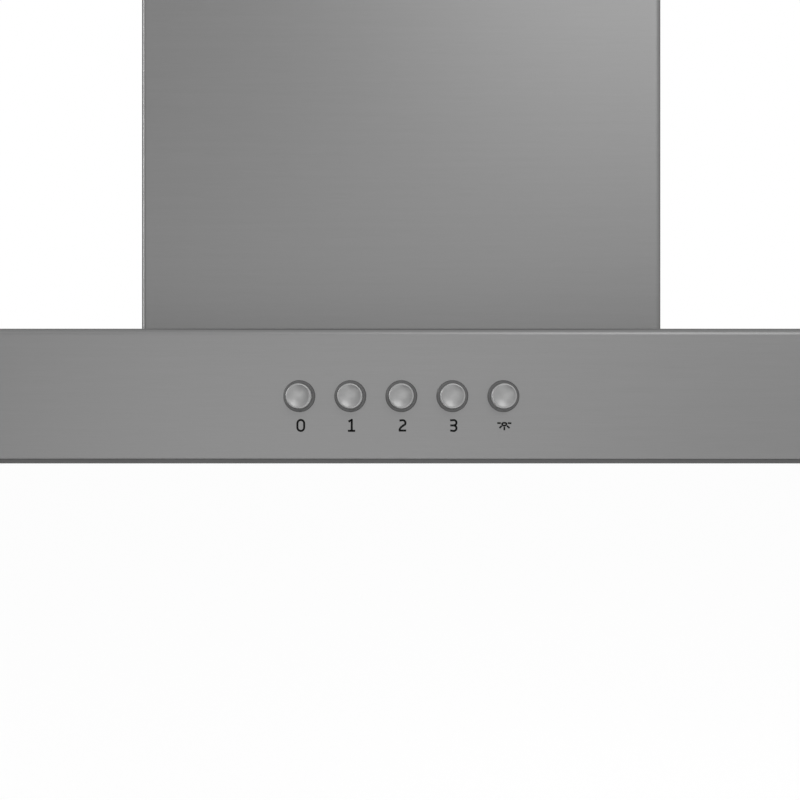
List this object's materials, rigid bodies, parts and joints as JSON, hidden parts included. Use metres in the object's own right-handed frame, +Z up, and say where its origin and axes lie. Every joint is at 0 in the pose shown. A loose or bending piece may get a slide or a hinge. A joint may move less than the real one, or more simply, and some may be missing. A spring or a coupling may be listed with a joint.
{
  "type": "range hood",
  "caption": "Wall-mounted box range hood with a slim folded canopy, telescopic chimney, push buttons, hinged grease filters, lamps and a centrifugal fan unit.",
  "frame": {"origin": "on the wall plane at the middle of the hood, level with the lowest edge of the underside", "axes": "+Z up, +Y into the wall, -Y out of the fascia towards the cook, +X to the right seen from the front"},
  "size_m": [0.598, 0.5065, 0.583],
  "materials": {
    "stainless": "fine horizontal brushed grain",
    "underside_grey": "satin dark grey paint",
    "galvanised": "dull zinc",
    "filter_aluminium": "matt",
    "satin_chrome": "satin",
    "switch_plastic": "fine grain",
    "fan_plastic": "matt",
    "lamp_lens": "frosted",
    "rubber": "matt",
    "cable_sheath": "satin",
    "brass": "bright",
    "copper": "varnished wire",
    "core_steel": "stacked sheet",
    "cast_aluminium": "as cast",
    "bright_steel": "zinc plated",
    "circuit_board": "white solder mask"
  },
  "bodies": {
    "hood": {"canopy_shell": "stainless", "lower_chimney": "stainless", "underside_frame": "underside_grey", "lamp_left_housing": "underside_grey", "lamp_right_housing": "underside_grey", "rear_panel": "galvanised", "outlet_flange": "galvanised", "motor_box": "galvanised", "motor_bracket": "galvanised", "chimney_clips": "galvanised", "switch_housing": "switch_plastic", "switch_contact_block": "switch_plastic", "terminal_box": "switch_plastic", "terminal_box_cover": "switch_plastic", "cable_gland": "switch_plastic", "led_driver": "switch_plastic", "scroll_left": "fan_plastic", "scroll_right": "fan_plastic", "outlet_spigot": "fan_plastic", "capacitor": "fan_plastic", "lamp_left_lens": "lamp_lens", "lamp_right_lens": "lamp_lens", "motor_grommets": "rubber", "control_cable": "cable_sheath", "switch_terminals": "brass", "stator_windings": "copper", "stator_core": "core_steel", "motor_case": "cast_aluminium", "motor_end_cap": "cast_aluminium", "body_fasteners": "bright_steel", "fan_screws": "bright_steel", "motor_bearings": "bright_steel", "button_0_spring": "bright_steel", "button_1_spring": "bright_steel", "button_2_spring": "bright_steel", "button_3_spring": "bright_steel", "button_light_spring": "bright_steel", "led_boards": "circuit_board"},
    "button_0": {"button_0": "satin_chrome"},
    "button_1": {"button_1": "satin_chrome"},
    "button_2": {"button_2": "satin_chrome"},
    "button_3": {"button_3": "satin_chrome"},
    "button_light": {"button_light": "satin_chrome"},
    "filter_left": {"filter_left_frame": "filter_aluminium", "filter_left_mesh": "filter_aluminium"},
    "filter_right": {"filter_right_frame": "filter_aluminium", "filter_right_mesh": "filter_aluminium"},
    "latch_left": {"filter_left_handle": "switch_plastic", "filter_left_latch_spring": "bright_steel"},
    "latch_right": {"filter_right_handle": "switch_plastic", "filter_right_latch_spring": "bright_steel"},
    "rotor": {"impeller": "fan_plastic", "impeller_nut": "bright_steel", "motor_shaft": "bright_steel", "rotor_core": "core_steel"},
    "flap_front": {"flap_front": "fan_plastic"},
    "flap_rear": {"flap_rear": "fan_plastic"},
    "chimney_top": {"upper_chimney": "stainless", "chimney_wall_bracket": "galvanised", "chimney_screws": "bright_steel"}
  },
  "joints": [
    {"name": "button_0_press", "type": "slide", "parent": "hood", "child": "button_0", "axis": [0, 1, 0], "range_m": [0, 0.0035], "stiffness_N_per_m": 400, "springref_m": -0.004, "deforming": ["button_0_spring"]},
    {"name": "button_1_press", "type": "slide", "parent": "hood", "child": "button_1", "axis": [0, 1, 0], "range_m": [0, 0.0035], "stiffness_N_per_m": 400, "springref_m": -0.004, "deforming": ["button_1_spring"]},
    {"name": "button_2_press", "type": "slide", "parent": "hood", "child": "button_2", "axis": [0, 1, 0], "range_m": [0, 0.0035], "stiffness_N_per_m": 400, "springref_m": -0.004, "deforming": ["button_2_spring"]},
    {"name": "button_3_press", "type": "slide", "parent": "hood", "child": "button_3", "axis": [0, 1, 0], "range_m": [0, 0.0035], "stiffness_N_per_m": 400, "springref_m": -0.004, "deforming": ["button_3_spring"]},
    {"name": "button_light_press", "type": "slide", "parent": "hood", "child": "button_light", "axis": [0, 1, 0], "range_m": [0, 0.0035], "stiffness_N_per_m": 400, "springref_m": -0.004, "deforming": ["button_light_spring"]},
    {"name": "filter_left_swing", "type": "hinge", "parent": "hood", "child": "filter_left", "pos_m": [0, -0.0355, 0.0003], "axis": [1, 0, 0], "range_deg": [0, 75], "deforming": ["filter_left_latch_spring"]},
    {"name": "latch_left_pull", "type": "slide", "parent": "filter_left", "child": "latch_left", "axis": [0, 1, 0], "range_m": [0, 0.005], "stiffness_N_per_m": 300, "springref_m": -0.005, "deforming": ["filter_left_latch_spring"]},
    {"name": "filter_right_swing", "type": "hinge", "parent": "hood", "child": "filter_right", "pos_m": [0, -0.0355, 0.0003], "axis": [1, 0, 0], "range_deg": [0, 75], "deforming": ["filter_right_latch_spring"]},
    {"name": "latch_right_pull", "type": "slide", "parent": "filter_right", "child": "latch_right", "axis": [0, 1, 0], "range_m": [0, 0.005], "stiffness_N_per_m": 300, "springref_m": -0.005, "deforming": ["filter_right_latch_spring"]},
    {"name": "fan_spin", "type": "hinge", "parent": "hood", "child": "rotor", "pos_m": [0, -0.177, 0.192], "axis": [1, 0, 0], "continuous": true},
    {"name": "flap_front_swing", "type": "hinge", "parent": "hood", "child": "flap_front", "pos_m": [0, -0.09675, 0.3205], "axis": [-1, 0, 0], "range_deg": [0, 80]},
    {"name": "flap_rear_swing", "type": "hinge", "parent": "hood", "child": "flap_rear", "pos_m": [0, -0.08675, 0.3205], "axis": [1, 0, 0], "range_deg": [0, 80]},
    {"name": "chimney_extend", "type": "slide", "parent": "hood", "child": "chimney_top", "axis": [0, 0, 1], "range_m": [0, 0.329]}
  ]
}
